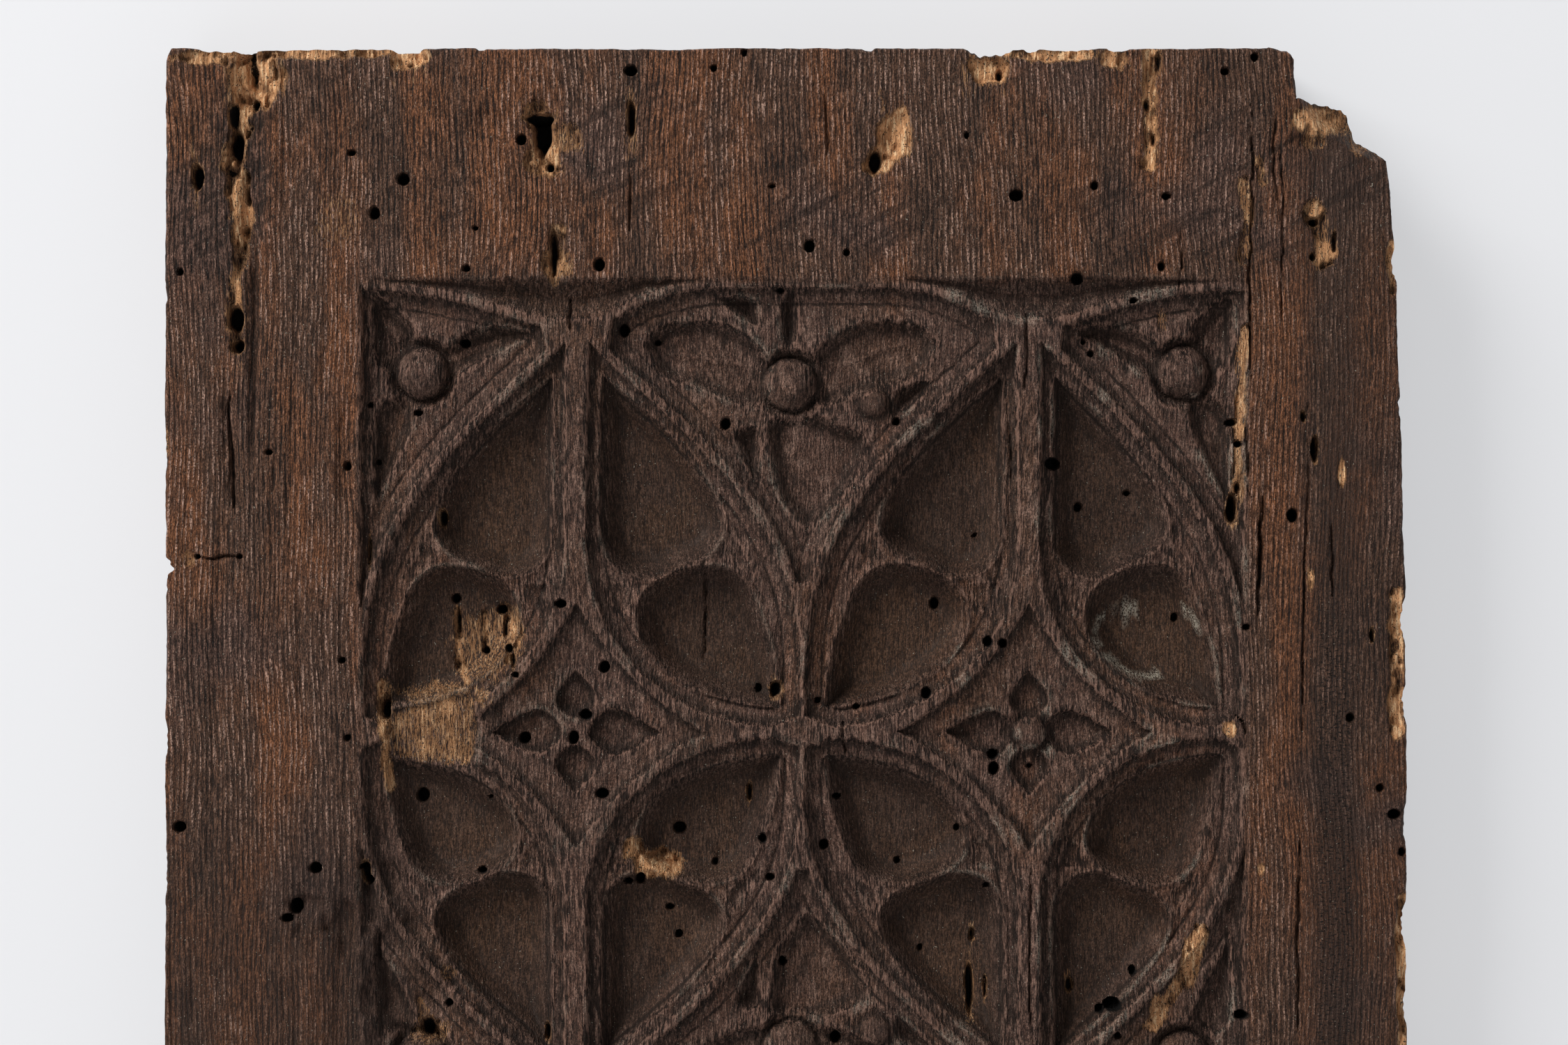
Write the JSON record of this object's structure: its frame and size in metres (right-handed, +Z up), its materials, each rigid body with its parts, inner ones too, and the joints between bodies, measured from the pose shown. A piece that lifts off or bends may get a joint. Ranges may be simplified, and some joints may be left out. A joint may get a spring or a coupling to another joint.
{
  "type": "carved wall panel",
  "caption": "Old oak wall panel with a plain worn border around a sunk field of Gothic tracery: two pointed ovals, stars and leaves.",
  "frame": {"origin": "centre of the flat back, where the panel lies against the wall", "axes": "+Z up along the grain, +X to the viewer's right, +Y into the wall, so the carved face looks along -Y"},
  "size_m": [0.2501, 0.024, 0.2681],
  "materials": {
    "oak": "dry, dark, unpolished old oak"
  },
  "bodies": {
    "root": {"carved_panel": "oak"}
  },
  "joints": []
}
